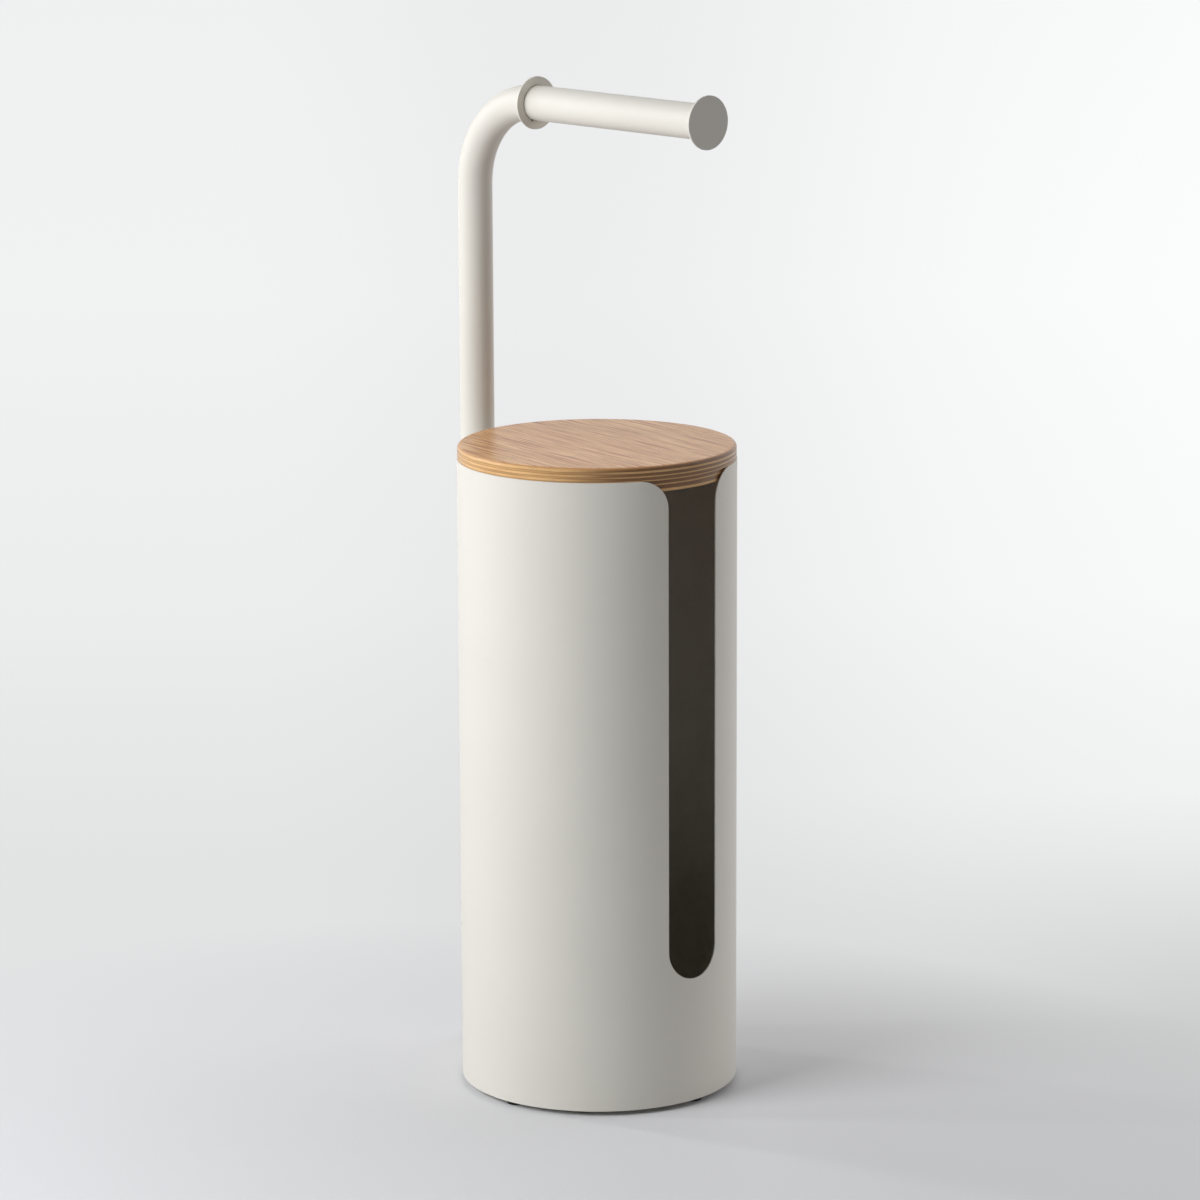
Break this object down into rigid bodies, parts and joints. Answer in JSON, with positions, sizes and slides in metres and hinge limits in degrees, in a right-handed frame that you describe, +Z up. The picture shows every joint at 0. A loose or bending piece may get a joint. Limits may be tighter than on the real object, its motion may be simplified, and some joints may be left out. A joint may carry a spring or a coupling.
{
  "type": "toilet paper stand",
  "caption": "Free-standing toilet paper stand: slotted round steel canister for spare rolls, lift-off plywood lid, and a bent tube post whose level arm holds the roll in use.",
  "frame": {"origin": "on the floor, on the canister's axis", "axes": "+Z up; the slot and the roll arm point to -Y, and the post stands at +Y"},
  "size_m": [0.17, 0.2156, 0.6173],
  "materials": {
    "painted_steel": "off-white powder coat, fine satin texture",
    "oak_plywood": "clear-lacquered oak veneer on plywood, bare lacquered edge",
    "black_rubber": "moulded, matte",
    "black_plastic": "moulded, fine grain",
    "zinc_steel": "bright zinc plated"
  },
  "bodies": {
    "stand": {"base_plate": "painted_steel", "bent_tube": "painted_steel", "canister_shell": "painted_steel", "foot_1": "black_rubber", "foot_2": "black_rubber", "foot_3": "black_rubber", "foot_4": "black_rubber", "roll_collar": "painted_steel", "roll_end_disc": "painted_steel", "stand_off_lower": "painted_steel", "stand_off_screws": "zinc_steel", "stand_off_upper": "painted_steel", "stand_off_washers": "zinc_steel", "tube_end_plug": "black_plastic", "tube_inserts": "zinc_steel"},
    "lid": {"lid_board": "oak_plywood"}
  },
  "joints": [
    {"name": "lid_lift", "type": "slide", "parent": "stand", "child": "lid", "axis": [0, 0, 1], "range_m": [0, 0.12]}
  ]
}
